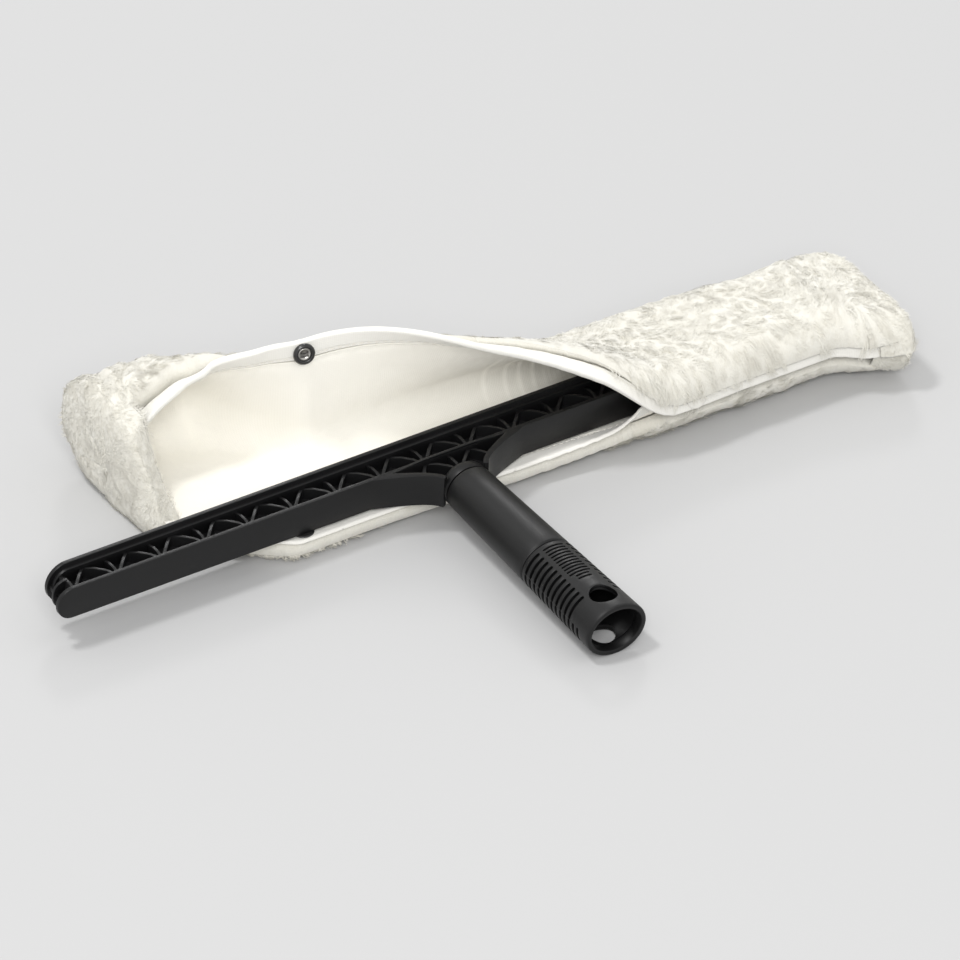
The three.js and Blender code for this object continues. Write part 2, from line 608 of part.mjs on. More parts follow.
place("left_end_closure", endClosure(LEFT_END, -1), surface(CREAM_PLUSH, 1));
for (const [name, geometry, matrix, material] of snapPieces()) place(name, geometry, material, matrix);

// The origin is under the middle of the whole object, on the surface that it lies on.
object.updateMatrixWorld(true);
const extent = new THREE.Box3().setFromObject(object, true);
const middle = extent.getCenter(new THREE.Vector3());
object.position.set(-middle.x, -middle.y, -extent.min.z);

export default object;
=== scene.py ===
"""Looks of the window washer: a moulded T-bar with a slotted grip, and a plush sleeve half drawn off it.

Shapes are made in millimetres, with X along the bar from its middle, Y = 0 at the bar's front wall and the
handle towards -Y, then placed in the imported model's frame.
"""

import math

import bmesh
import bpy
import numpy as np
from mathutils import Matrix, Vector


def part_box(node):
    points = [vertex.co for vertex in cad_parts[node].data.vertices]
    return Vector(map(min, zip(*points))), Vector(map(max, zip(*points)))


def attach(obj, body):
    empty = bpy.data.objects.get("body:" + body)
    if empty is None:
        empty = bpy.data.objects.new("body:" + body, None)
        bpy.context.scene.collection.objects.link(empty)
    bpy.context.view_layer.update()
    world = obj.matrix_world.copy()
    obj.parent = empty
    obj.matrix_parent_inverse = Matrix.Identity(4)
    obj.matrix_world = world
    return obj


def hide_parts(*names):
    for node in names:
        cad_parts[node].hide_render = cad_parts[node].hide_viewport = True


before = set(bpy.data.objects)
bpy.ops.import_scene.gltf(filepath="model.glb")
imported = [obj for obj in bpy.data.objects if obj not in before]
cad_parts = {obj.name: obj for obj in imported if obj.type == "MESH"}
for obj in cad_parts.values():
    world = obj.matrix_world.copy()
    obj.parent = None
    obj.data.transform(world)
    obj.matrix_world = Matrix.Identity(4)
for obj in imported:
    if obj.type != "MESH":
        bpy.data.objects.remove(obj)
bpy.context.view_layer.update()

# ---------- where things are ----------
MM = 0.001
PITCH = math.radians(3.6)
HANDLE_END = 120
HANDLE_X = (10.2, 13.6)
HANDLE_Z = (9.7, 11.4)
COLLAR_END = 14.4
GRIP_START = 71
HOLE_ALONG, HOLE_RADIUS = 109.5, 5.6
HOLE_CUT = 16  # how far the hole's cutter reaches to either side of the handle's axis
GRIP_REACH = 120.44  # from the bar's front wall to the grip's far edge, measured level
RIM_ROUNDING = 0.063
bar_low, bar_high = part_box("tbar_frame")
grip_low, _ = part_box("grip_sleeve")
SHIFT = np.array([
    (bar_low.x + bar_high.x) / 2 / MM,
    grip_low.y / MM + GRIP_REACH,
    grip_low.z / MM - RIM_ROUNDING,
])
TBAR = (Matrix.Translation(Vector(SHIFT * MM))
        @ Matrix.Translation((0, 0, (HANDLE_END * math.sin(PITCH) + HANDLE_Z[1] * math.cos(PITCH)) * MM))
        @ Matrix.Rotation(PITCH, 4, "X") @ Matrix.Diagonal((MM, MM, MM, 1)))
FLOOR_GAP = 0.15


# ---------- noise ----------
def lattice(i, j, k, seed):
    n = (i * 73856093) ^ (j * 19349663) ^ (k * 83492791) ^ (seed * 40503)
    n = (n ^ (n >> 13)) * 1274126177 & 0xFFFFFFFF
    return ((n ^ (n >> 16)) & 0xFFFFFF) / 0xFFFFFF


def noise(p, size, seed=0):
    """Smooth noise from -1 to 1 at points p (..., 2 or 3); size is the lumps' size."""
    p = np.asarray(p, float) / size
    if p.shape[-1] == 2:
        p = np.concatenate([p, np.zeros(p.shape[:-1] + (1,))], -1)
    cell = np.floor(p).astype(np.int64)
    f = p - cell
    f = f * f * (3 - 2 * f)
    total = 0
    for a in (0, 1):
        for b in (0, 1):
            for c in (0, 1):
                weight = ((f[..., 0] if a else 1 - f[..., 0]) * (f[..., 1] if b else 1 - f[..., 1])
                          * (f[..., 2] if c else 1 - f[..., 2]))
                total = total + weight * lattice(cell[..., 0] + a, cell[..., 1] + b, cell[..., 2] + c, seed)
    return total * 2 - 1


def ridged(p, size, seed=0):
    """Creased noise from 0 in the creases to 1 between them."""
    warp = np.stack([noise(p, size * 1.7, seed + 5), noise(p, size * 1.7, seed + 6)], -1)
    q = np.asarray(p, float)[..., :2] + warp * size * 0.6
    return np.abs(noise(q, size, seed)) ** 0.6


# ---------- the sleeve's cloth ----------
KEYS = ("x", "y", "z", "rise", "turn", "lower", "fold", "folded", "upper", "close", "tail")
STATIONS = np.array([
    (196, -14, 9.2, 50, 9, 41, 26, 180, 42, 78, 3),
    (184, -5, 9.1, 80, 19, 33, 29, 180, 39, 84, 5),
    (168, 3, 9.1, 86, 21, 20, 33.4, 180, 25.6, 86, 7),
    (98, 3, 9.1, 86, 21, 25, 33.4, 180, 31.2, 86, 7),
    (66, 6, 9.1, 20, 14, 22, 30, 154, 26, 58, 5),
    (32, 7, 9.1, 3, 12, 24, 27, 128, 24, 42, 3),
    (-30, 10, 9.1, 0, 12, 27, 20, 84, 22, -3, 3),
    (-48, 10, 9.1, 0, 12, 44, 25, 104, 16, -3, 3),
    (-67, 10, 9.1, 0, 12, 60, 37, 134, 7, -3, 3),
    (-78, 17, 9.1, 0, 12, 58, 43, 150, 5, 2, 2),
    (-91, 28, 9.1, 0, 12, 54, 41, 162, 8, 6, 2),
    (-106, 44, 9.2, 14, 10, 43, 37, 174, 12, 30, 2),
    (-121, 52, 9.3, 30, 9, 33, 32, 180, 17, 60, 2),
])[::-1]
LEFT_END, RIGHT_END = -106, STATIONS[-1, 0]
FULL_RISE = 86  # degrees that the lower flap stands up at the bar's front
FRONT_TURN = 13
HEM_WIDTH = 8
PILE_UNDER, PILE_OVER = 8.9, 6
STEP = 0.5
REACH = 260  # longer than the cloth is anywhere


def slopes():
    rates = np.diff(STATIONS, axis=0) / np.diff(STATIONS[:, :1], axis=0)
    a, b = rates[:-1], rates[1:]
    same = a * b > 0
    inner = np.where(same, 2 * a * b / np.where(same, a + b, 1), 0)
    return np.vstack([rates[:1], inner, rates[-1:]])


SLOPES = slopes()


def stations_at(x):
    """The sleeve's values at x, between its stations."""
    x = np.clip(np.asarray(x, float), STATIONS[0, 0], RIGHT_END)
    i = np.clip(np.searchsorted(STATIONS[:, 0], x, side="right") - 1, 0, len(STATIONS) - 2)
    span = (STATIONS[i + 1, 0] - STATIONS[i, 0])[..., None]
    t = (x - STATIONS[i, 0])[..., None] / span
    values = ((2 * t**3 - 3 * t**2 + 1) * STATIONS[i] + (t**3 - 2 * t**2 + t) * span * SLOPES[i]
              + (3 * t**2 - 2 * t**3) * STATIONS[i + 1] + (t**3 - t**2) * span * SLOPES[i + 1])
    return dict(zip(KEYS, np.moveaxis(values, -1, 0)))


def cloth_table():
    """The cloth's middle at every millimetre of x and half millimetre along it: y, z and heading."""
    xs = np.arange(LEFT_END, RIGHT_END + 1)
    v = {k: a[:, None] for k, a in stations_at(xs).items()}
    fold_at = v["turn"] + v["lower"]
    close_at = fold_at + v["fold"] + v["upper"]
    straight = np.minimum(1, v["rise"] / FULL_RISE) * HEM_WIDTH

    def heading(s):
        def eased(a, b):
            return np.clip((s - a) / (b - a), 0, 1)

        return np.radians(-v["rise"] * (1 - eased(straight, v["turn"]))
                          + v["folded"] * eased(fold_at, fold_at + v["fold"])
                          + v["close"] * eased(close_at, close_at + FRONT_TURN))

    s = np.arange(0, REACH, STEP)[None, :]
    mid = heading(s + STEP / 2)
    start = np.zeros((len(xs), 1))
    y = np.hstack([start, np.cumsum(np.cos(mid) * STEP, 1)])[:, :-1]
    z = np.hstack([start, np.cumsum(np.sin(mid) * STEP, 1)])[:, :-1]
    at = np.round(v["turn"] / STEP).astype(int)
    y += v["y"] - np.take_along_axis(y, at, 1)
    z += v["z"] - np.take_along_axis(z, at, 1)
    return np.stack([y, z, heading(s)], -1)


TABLE = cloth_table()


def fold_start(x):
    v = stations_at(x)
    return v["turn"] + v["lower"]


def cloth_width(x):
    v = stations_at(x)
    return v["turn"] + v["lower"] + v["fold"] + v["upper"] + FRONT_TURN + v["tail"]


def cloth_place(x, s):
    """x and s together, as points of the flat cloth."""
    return np.stack(np.broadcast_arrays(np.asarray(x, float), np.asarray(s, float)), -1)


def ruffle(x, s):
    """Soft waves of the whole cloth, away from where the bar lies in it."""
    place = cloth_place(x, s)
    free = smooth(x, -52, -84)
    behind = smooth(s, fold_start(x) + 2, fold_start(x) + 16)
    edge = 1 - smooth(x, -108, -118) * 0.5
    waves = noise(place, 17, 3) * 1.5 + noise(place, 8, 4) * 0.6
    return waves * free * edge * behind + noise(place, 26, 8) * 0.35 * behind


def smooth(v, a, b):
    t = np.clip((v - a) / (b - a), 0, 1)
    return t * t * (3 - 2 * t)


def sleeve(x, s, out):
    """Points of the sleeve, s along the cloth from the lower hem and out away from the bar."""
    x, s, out = np.broadcast_arrays(*(np.asarray(a, float) for a in (x, s, out)))
    u = np.clip(x - LEFT_END, 0, len(TABLE) - 1.001)
    w = np.clip(s / STEP, 0, TABLE.shape[1] - 1.001)
    i, j = u.astype(int), w.astype(int)
    a, b = (u - i)[..., None], (w - j)[..., None]
    v = ((TABLE[i, j] * (1 - a) + TABLE[i + 1, j] * a) * (1 - b)
         + (TABLE[i, j + 1] * (1 - a) + TABLE[i + 1, j + 1] * a) * b)
    h = v[..., 2]
    lift = out + ruffle(x, s)
    y, z = v[..., 0] + np.sin(h) * lift, v[..., 1] - np.cos(h) * lift
    return np.stack([x, y, z], -1)


def wrapped(x):
    return np.clip(stations_at(x)["rise"] / 60, 0, 1)


def pile_start(x):
    return 1.5 + 10.5 * wrapped(x)


def pile_end(x):
    return cloth_width(x) - HEM_WIDTH - 1


def pile_depth(x, s):
    fold_at = fold_start(x)
    over = smooth(s, fold_at - 8, fold_at + 14)
    edge = np.maximum(0, np.minimum(s - pile_start(x), pile_end(x) - s))
    rounding = np.sqrt(1 - (1 - np.minimum(1, 0.35 + edge / 12)) ** 2)
    puff = 5.5 * smooth(x, -38, -64) * smooth(s, fold_at + 2, fold_at + 20)
    return (PILE_UNDER * (1 - over) + (PILE_OVER + puff) * over) * rounding


# ---------- meshes ----------
def placed(points):
    """Points in millimetres, put in the model's frame in metres and kept off the floor."""
    p = (np.asarray(points, float).reshape(-1, 3) + SHIFT) * MM
    p[:, 2] = np.maximum(p[:, 2], FLOOR_GAP * MM)
    return p


def make(name, points, faces, material, body, replaces=(), uv=None, matrix=None):
    mesh = bpy.data.meshes.new(name)
    vertices = placed(points) if matrix is None else np.asarray(points, float)
    mesh.from_pydata(vertices.tolist(), [], np.asarray(faces).tolist())
    if matrix is not None:
        mesh.transform(matrix)
    mesh.polygons.foreach_set("use_smooth", np.ones(len(mesh.polygons), bool))
    if uv is not None:
        layer = mesh.uv_layers.new(name="cloth")
        loops = np.zeros(len(mesh.loops), int)
        mesh.loops.foreach_get("vertex_index", loops)
        layer.data.foreach_set("uv", (np.asarray(uv).reshape(-1, 2)[loops] * MM).ravel())
    mesh.update()
    bm = bmesh.new()
    bm.from_mesh(mesh)
    bmesh.ops.recalc_face_normals(bm, faces=bm.faces)
    bm.to_mesh(mesh)
    bm.free()
    return show(bpy.data.objects.new(name, mesh), material, body, replaces)


def show(obj, material, body, replaces=()):
    if obj.name not in bpy.context.scene.collection.objects:
        bpy.context.scene.collection.objects.link(obj)
    obj.data.materials.clear()
    obj.data.materials.append(material)
    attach(obj, body)
    if replaces:
        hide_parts(*replaces)
    return obj


def grid_faces(rows, columns, start=0, wrap=False):
    i = np.arange(rows - 1)[:, None]
    j = np.arange(columns if wrap else columns - 1)[None, :]
    k = (j + 1) % columns
    quad = [i * columns + j, i * columns + k, (i + 1) * columns + k, (i + 1) * columns + j]
    return np.stack([q.ravel() for q in np.broadcast_arrays(*quad)], -1) + start


def shell(inner, outer):
    """The points and faces of a closed shell between two grids of points."""
    rows, columns = inner.shape[:2]
    faces = [grid_faces(rows, columns), grid_faces(rows, columns, rows * columns)[:, ::-1]]
    loop = ([(0, j) for j in range(columns)] + [(i, columns - 1) for i in range(1, rows)]
            + [(rows - 1, j) for j in range(columns - 2, -1, -1)] + [(i, 0) for i in range(rows - 2, 0, -1)])
    rim = np.array([i * columns + j for i, j in loop])
    after = np.roll(rim, -1)
    side = rows * columns
    faces.append(np.stack([rim, rim + side, after + side, after], -1))
    return np.concatenate([inner.reshape(-1, 3), outer.reshape(-1, 3)]), np.concatenate(faces)


def lathe(profile, around=64):
    """A ring of revolution round Z. Profile points are (radius, height); a radius of 0 closes it."""
    angle = np.arange(around) * 2 * math.pi / around
    r, h = np.array(profile, float).T
    points = np.stack([r[:, None] * np.cos(angle), r[:, None] * np.sin(angle), h[:, None] + 0 * angle], -1)
    return points.reshape(-1, 3), grid_faces(len(r), around, wrap=True)


def rounded(profile, radius=0.15, steps=3):
    """A profile with its corners rounded."""
    pts = [np.array(p, float) for p in profile]
    out = [pts[0]]
    for a, b, c in zip(pts, pts[1:], pts[2:]):
        before, after = np.linalg.norm(a - b), np.linalg.norm(c - b)
        cut = min(radius, before * 0.45, after * 0.45)
        p, q = b + (a - b) / before * cut, b + (c - b) / after * cut
        for i in range(steps + 1):
            t = i / steps
            out.append((1 - t) ** 2 * p + 2 * t * (1 - t) * b + t * t * q)
    out.append(pts[-1])
    return out


# ---------- materials ----------
class Finish:
    """A procedural material: colours and bumps from noise on the object's own coordinates."""

    def __init__(self, name, roughness, **sockets):
        self.material = bpy.data.materials.new(name)
        self.material.use_nodes = True
        self.tree = self.material.node_tree
        self.shader = self.tree.nodes["Principled BSDF"]
        self.shader.inputs["Roughness"].default_value = roughness
        for socket, value in sockets.items():
            self.shader.inputs[socket.replace("_", " ")].default_value = value
        coordinates = self.node("ShaderNodeTexCoord").outputs
        self.place, self.cloth = coordinates["Object"], coordinates["UV"]
        self.height = None

    def node(self, kind, **inputs):
        n = self.tree.nodes.new(kind)
        for name, value in inputs.items():
            self.join(value, n.inputs[name.replace("_", " ")])
        return n

    def join(self, value, socket):
        if isinstance(value, bpy.types.NodeSocket):
            self.tree.links.new(value, socket)
        else:
            socket.default_value = value

    def grain(self, size_mm, detail=3, stretch=(1, 1, 1)):
        moved = self.node("ShaderNodeMapping", Vector=self.place, Scale=stretch).outputs["Vector"]
        n = self.node("ShaderNodeTexNoise", Vector=moved, Scale=1 / (size_mm * MM), Detail=detail)
        return n.outputs["Fac"]

    def ramp(self, factor, *stops):
        n = self.node("ShaderNodeValToRGB", Fac=factor)
        for element, (at, colour) in zip(n.color_ramp.elements, (stops[0], stops[-1])):
            element.position, element.color = at, (*colour, 1)
        for at, colour in stops[1:-1]:
            element = n.color_ramp.elements.new(at)
            element.color = (*colour, 1)
        return n.outputs["Color"]

    def mix(self, factor, a, b):
        n = self.node("ShaderNodeMix")
        n.data_type = "RGBA"
        for value, index in ((factor, 0), (a, 6), (b, 7)):
            self.join((*value, 1) if isinstance(value, tuple) else value, n.inputs[index])
        return n.outputs[2]

    def paint(self, colour):
        self.join(colour, self.shader.inputs["Base Color"])
        return self

    def vary_roughness(self, factor, low, high):
        n = self.node("ShaderNodeMapRange", Value=factor, To_Min=low, To_Max=high)
        self.join(n.outputs["Result"], self.shader.inputs["Roughness"])
        return self

    def bump(self, height, depth_mm, strength=1.0):
        inputs = {"Height": height, "Distance": depth_mm * MM, "Strength": strength}
        if self.height is not None:
            inputs["Normal"] = self.height
        self.height = self.node("ShaderNodeBump", **inputs).outputs["Normal"]
        self.join(self.height, self.shader.inputs["Normal"])
        return self


def plastic(name, base, roughness):
    f = Finish(name, roughness, Specular_IOR_Level=0.36)
    fine, broad = f.grain(0.35, 4), f.grain(14, 3)
    dark, light = tuple(c * 0.75 for c in base), tuple(min(1, c * 1.5) for c in base)
    f.paint(f.ramp(f.mix(0.5, fine, broad), (0.3, dark), (0.55, base), (0.8, light)))
    f.vary_roughness(broad, roughness - 0.07, roughness + 0.1)
    return f.bump(fine, 0.018).bump(f.grain(2.4, 2), 0.02).material


THREAD_SCALE = 1 / (0.75 * MM) / 3.1  # the wave texture's scale that lays a thread about every 0.75 mm


def cloth(name, light, shade, depth):
    f = Finish(name, 0.92, Sheen_Weight=0.15, Sheen_Roughness=0.5)
    threads = []
    for turn in (0, math.pi / 2):
        moved = f.node("ShaderNodeMapping", Vector=f.cloth, Rotation=(0, 0, turn)).outputs["Vector"]
        wave = f.node("ShaderNodeTexWave", Vector=moved, Scale=THREAD_SCALE, Distortion=0.6, Detail=1)
        threads.append(wave.outputs["Fac"])
    weave = f.mix(0.5, *threads)
    fuzz, patch = f.grain(0.9, 4), f.grain(22, 3)
    f.paint(f.mix(f.mix(0.6, fuzz, patch), f.ramp(weave, (0.1, shade), (0.7, light)), light))
    return f.bump(weave, depth).bump(fuzz, 0.05).bump(f.grain(5, 3), 0.12).material


def pile(name):
    f = Finish(name, 0.95, Sheen_Weight=0.3, Sheen_Roughness=0.6)
    fibre = f.grain(0.5, 5, (1, 0.45, 0.45))
    lumps = f.grain(6, 4)
    f.paint(f.ramp(f.mix(0.45, lumps, fibre), (0.25, (0.66, 0.635, 0.56)), (0.5, (0.72, 0.7, 0.63)),
                   (0.75, (0.77, 0.755, 0.695))))
    return f.bump(fibre, 0.22).bump(lumps, 0.3).material


def metal(name, base, roughness):
    f = Finish(name, roughness, Metallic=1.0)
    fine = f.grain(0.25, 3)
    f.paint(f.ramp(fine, (0.3, tuple(c * 0.7 for c in base)), (0.7, base)))
    f.vary_roughness(f.grain(0.8, 3), roughness - 0.08, roughness + 0.12)
    return f.bump(fine, 0.01).material


def enamel(name):
    f = Finish(name, 0.3, Coat_Weight=0.4, Coat_Roughness=0.15)
    fine = f.grain(0.3, 3)
    f.paint(f.ramp(f.grain(1.2, 3), (0.35, (0.008, 0.008, 0.008)), (0.75, (0.02, 0.019, 0.018))))
    f.vary_roughness(fine, 0.22, 0.42)
    return f.bump(fine, 0.008).material


FRAME_PLASTIC = plastic("frame_plastic", (0.0035, 0.0035, 0.0038), 0.4)
HANDLE_PLASTIC = plastic("handle_plastic", (0.0045, 0.0045, 0.0046), 0.43)
CANVAS = cloth("canvas_weave", (0.93, 0.905, 0.83), (0.88, 0.85, 0.765), 0.04)
HEM = cloth("hem_weave", (0.85, 0.835, 0.785), (0.79, 0.77, 0.71), 0.04)
THREAD = cloth("thread", (0.88, 0.86, 0.8), (0.7, 0.67, 0.6), 0.04)
PILE = pile("plush_pile")
ENAMEL = enamel("black_enamel")
STEEL = metal("snap_steel", (0.66, 0.64, 0.6), 0.3)
SPRING = metal("spring_wire", (0.12, 0.115, 0.11), 0.4)


# ---------- T-bar ----------
def rounded_copy(node, name, width_mm, material):
    """The moulded frame with its edges broken and its curved faces smooth."""
    bm = bmesh.new()
    bm.from_mesh(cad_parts[node].data)
    bmesh.ops.remove_doubles(bm, verts=bm.verts, dist=0.00001)
    bmesh.ops.dissolve_limit(bm, angle_limit=math.radians(0.6), verts=bm.verts, edges=bm.edges)
    bmesh.ops.recalc_face_normals(bm, faces=bm.faces)
    mesh = bpy.data.meshes.new(name)
    bm.to_mesh(mesh)
    bm.free()
    obj = show(bpy.data.objects.new(name, mesh), material, "tbar", (node,))
    bevel = obj.modifiers.new("edges", "BEVEL")
    bevel.width, bevel.segments, bevel.limit_method = width_mm * MM, 2, "ANGLE"
    bevel.angle_limit, bevel.use_clamp_overlap = math.radians(35), True
    apply_modifiers(obj)
    return smooth_by_angle(obj, 38)


def apply_modifiers(obj):
    dg = bpy.context.evaluated_depsgraph_get()
    mesh = bpy.data.meshes.new_from_object(obj.evaluated_get(dg), depsgraph=dg)
    obj.modifiers.clear()
    obj.data = mesh


def smooth_by_angle(obj, degrees):
    obj.data.polygons.foreach_set("use_smooth", np.ones(len(obj.data.polygons), bool))
    obj.data.set_sharp_from_angle(angle=math.radians(degrees))
    return obj


def handle_half(along):
    share = np.clip((along - COLLAR_END) / (HANDLE_END - COLLAR_END), 0, 1)
    return tuple(narrow + (wide - narrow) * share for narrow, wide in (HANDLE_X, HANDLE_Z))


def oval_ring(profile, around=128):
    """A closed ring of the oval handle. Profile points are (distance along, depth below the outside)."""
    along, depth = np.array(profile, float).T
    half_x, half_z = handle_half(along)
    angle = np.arange(around) * 2 * math.pi / around
    x = (half_x - depth)[:, None] * np.cos(angle)
    z = (half_z - depth)[:, None] * np.sin(angle)
    y = -along[:, None] + 0 * angle
    points = np.stack([x, y, z], -1).reshape(-1, 3)
    faces = grid_faces(len(along), around, wrap=True)
    last = (len(along) - 1) * around
    j = np.arange(around)
    k = (j + 1) % around
    return points, np.concatenate([faces, np.stack([last + j, last + k, k, j], -1)])


def capsule(along, angle, width, arc, depth=5.0, sides=7):
    """A round-ended cutter standing out of the handle's side."""
    half_x, half_z = handle_half(along)
    turn = math.radians(angle)
    place = Vector((math.cos(turn) * half_x, -along, math.sin(turn) * half_z))
    normal = Vector((math.cos(turn) / half_x, 0, math.sin(turn) / half_z)).normalized()
    across = Vector((0, 1, 0)).cross(normal)
    half = (arc / 360 * math.pi * (half_x + half_z)) / 2 - width / 2
    outline = []
    for side in (1, -1):
        for i in range(sides + 1):
            a = math.pi * i / sides - math.pi / 2
            outline.append((side * (half + math.cos(a) * width / 2), side * math.sin(a) * width / 2))
    n = len(outline)
    points = [place + across * u + Vector((0, 1, 0)) * v + normal * h
              for h in (-depth / 2, depth / 2) for u, v in outline]
    faces = [[i, (i + 1) % n, n + (i + 1) % n, n + i] for i in range(n)]
    return points, faces + [list(range(n))[::-1], list(range(n, 2 * n))]


def cylinder_points(radius, low, high, centre, around=64):
    angle = np.arange(around) * 2 * math.pi / around
    points = [(centre[0] + radius * math.cos(a), centre[1] + radius * math.sin(a), h)
              for h in (low, high) for a in angle]
    faces = [[i, (i + 1) % around, around + (i + 1) % around, around + i] for i in range(around)]
    return points, faces + [list(range(around))[::-1], list(range(around, 2 * around))]


def cutter(parts):
    points, faces = [], []
    for p, f in parts:
        faces += [[i + len(points) for i in face] for face in f]
        points += [tuple(q) for q in p]
    mesh = bpy.data.meshes.new("cutter")
    mesh.from_pydata(points, [], faces)
    mesh.transform(TBAR)
    bm = bmesh.new()
    bm.from_mesh(mesh)
    bmesh.ops.recalc_face_normals(bm, faces=bm.faces)
    bm.to_mesh(mesh)
    bm.free()
    obj = bpy.data.objects.new("cutter", mesh)
    bpy.context.scene.collection.objects.link(obj)
    return obj


def cut(obj, parts, edge_mm):
    tool = cutter(parts)
    modifier = obj.modifiers.new("cut", "BOOLEAN")
    modifier.operation, modifier.solver, modifier.object = "DIFFERENCE", "EXACT", tool
    modifier.use_self = True
    bevel = obj.modifiers.new("edges", "BEVEL")
    bevel.width, bevel.segments, bevel.limit_method = edge_mm * MM, 2, "ANGLE"
    bevel.angle_limit = math.radians(40)
    apply_modifiers(obj)
    bpy.data.objects.remove(tool)


# The grip's slots: four columns of broad ones on its sides and one of fine ones along its top, in degrees and
# millimetres. The upper columns stop before the hanging hole, and the fine slots get shorter beside it.
SLOT_START, SLOT_COUNT = 74, 13
BROAD_PITCH, BROAD_WIDTH, BROAD_ARC = 3.2, 1.55, 50
UPPER_COLUMNS, LOWER_COLUMNS, UPPER_COUNT = (34, 146), (202, 338), 11
FINE_PITCH, FINE_WIDTH, FINE_ARC, FINE_LAST_ARC, FINE_FULL = 1.9, 0.9, 46, 30, 11


def slot_cutters():
    slots = []
    for angle in UPPER_COLUMNS + LOWER_COLUMNS:
        count = UPPER_COUNT if angle in UPPER_COLUMNS else SLOT_COUNT
        slots += [capsule(SLOT_START + i * BROAD_PITCH, angle, BROAD_WIDTH, BROAD_ARC) for i in range(count)]
    for i in range(SLOT_COUNT):
        arc = FINE_ARC if i < FINE_FULL else FINE_LAST_ARC
        slots.append(capsule(SLOT_START + i * FINE_PITCH, 90, FINE_WIDTH, arc))
    return slots


def build_tbar():
    rounded_copy("tbar_frame", "washer_frame", 0.3, FRAME_PLASTIC)
    hole = cylinder_points(HOLE_RADIUS, -HOLE_CUT, HOLE_CUT, (0, -HOLE_ALONG))
    start, step, end, inner = 14.7, 1.3, 115.1, 2.3
    profile = ([(start, 1.2), (start + 0.1, 0.5), (start + 0.5, 0.15), (start + 1.2, 0)]
               + [(a, 0) for a in np.linspace(20, 69.4, 12)]
               + [(70.1, 0.12), (70.5, 0.5), (70.5, step), (90, step), (end, step), (end, inner)]
               + [(a, inner) for a in np.linspace(112, start, 12)])
    points, faces = oval_ring(profile)
    tube = make("washer_handle", points, faces, HANDLE_PLASTIC, "tbar", ("handle_tube",),
                matrix=TBAR)
    cut(tube, [hole], 0.12)
    smooth_by_angle(tube, 35)
    profile = ([(GRIP_START, 1), (GRIP_START, 0.45), (GRIP_START + 0.15, 0.2), (GRIP_START + 0.6, 0)]
               + [(a, 0) for a in np.linspace(73, 118.6, 24)]
               + [(119.2, 0.05), (119.7, 0.25), (120, 0.7), (120, 1.6), (119.8, 2.1), (119.3, 2.3)]
               + [(117, 2.3), (115.4, 2.3), (115.4, 1), (92, 1)])
    points, faces = oval_ring(profile)
    grip = make("slotted_grip", points, faces, HANDLE_PLASTIC, "tbar", ("grip_sleeve",),
                matrix=TBAR)
    cut(grip, [*slot_cutters(), hole], 0.12)
    smooth_by_angle(grip, 35)


# ---------- sleeve pieces ----------
def columns(count):
    return np.linspace(LEFT_END, RIGHT_END, count)[:, None]


def rows(low, high, count):
    return low + (high - low) * np.linspace(0, 1, count)[None, :]


def band(name, low, high, inner, outer, counts, material, replaces):
    """A shell of cloth between two distances along it and two depths, with x and s as its own coordinates."""
    x = columns(counts[0])
    s = rows(low(x), high(x), counts[1])
    x, s = np.broadcast_arrays(x, s)
    points, faces = shell(sleeve(x, s, inner(x, s)), sleeve(x, s, outer(x, s)))
    uv = np.tile(np.stack([x, s], -1).reshape(-1, 2), (2, 1))
    return make(name, points, faces, material, "sleeve", replaces, uv=uv)


def rounded_edge(s, low, high, radius):
    """1 inside a band and falling round to its two edges."""
    edge = np.clip(np.minimum(s - low, high - s) / radius, 0, 1)
    return np.sqrt(1 - (1 - edge) ** 2)


def lining_depth(x, s):
    """How far the lining's face lies in from the cloth's middle: small wrinkles in the canvas."""
    place = cloth_place(x, s)
    small = noise(place, 5.5, 21) * 0.1 + noise(place, 2.2, 22) * 0.04
    seam = np.exp(-((s - (cloth_width(x) - HEM_WIDTH - 2)) / 1.6) ** 2)
    return -1.05 + small + seam * (0.35 + noise(place * [1, 0.1], 2.6, 23) * 0.25)


def build_lining():
    band("canvas_lining_sheet", lambda x: 8.2 + 0 * x, lambda x: cloth_width(x) - HEM_WIDTH - 0.4,
         lining_depth, lambda x, s: -0.35 + 0 * s, (420, 130), CANVAS, ("canvas_lining",))


LOWER_STITCH = 6.7  # the stitch line on the lower hem, from its edge
STITCH_PITCH, STITCH_LENGTH, STITCH_RISE, THREAD_RADIUS = 2.6, 1.9, 0.24, 0.2
STITCH_RINGS, STITCH_SIDES, STITCH_DEPTH = 7, 6, -1.25


def upper_stitch_line(x):
    return cloth_width(x) - HEM_WIDTH + 1.3


def hem_swell(x, s, low, high, reach):
    """A folded hem: rounded at its edge, pulled in along its stitch line."""
    place = cloth_place(x, s)
    full = rounded_edge(s, low, high, 1.1)
    return reach * (0.25 + 0.75 * full) + noise(place * [1, 0.5], 4.5, 31) * 0.1


def build_hems():
    def upper_low(x):
        return cloth_width(x) - HEM_WIDTH

    def upper_swell(x, s, reach):
        return hem_swell(x, s, upper_low(x), cloth_width(x), reach)

    def groove(s, at):
        return np.exp(-((s - at) / 0.6) ** 2)

    upper = band(
        "upper_hem_tape", upper_low, cloth_width,
        lambda x, s: -upper_swell(x, s, 1.6) + 0.4 * groove(s, upper_stitch_line(x)),
        lambda x, s: upper_swell(x, s, 1.35) - 0.3 * groove(s, upper_stitch_line(x)),
        (420, 26), HEM, ("upper_hem",))
    lower = band(
        "lower_hem_tape", lambda x: 0 * x, lambda x: HEM_WIDTH + 0 * x,
        lambda x, s: -hem_swell(x, s, 0, HEM_WIDTH, 1.55) + 0.35 * groove(s, LOWER_STITCH),
        lambda x, s: -0.3 + 0 * s, (420, 26), HEM, ("lower_hem",))
    return upper, lower


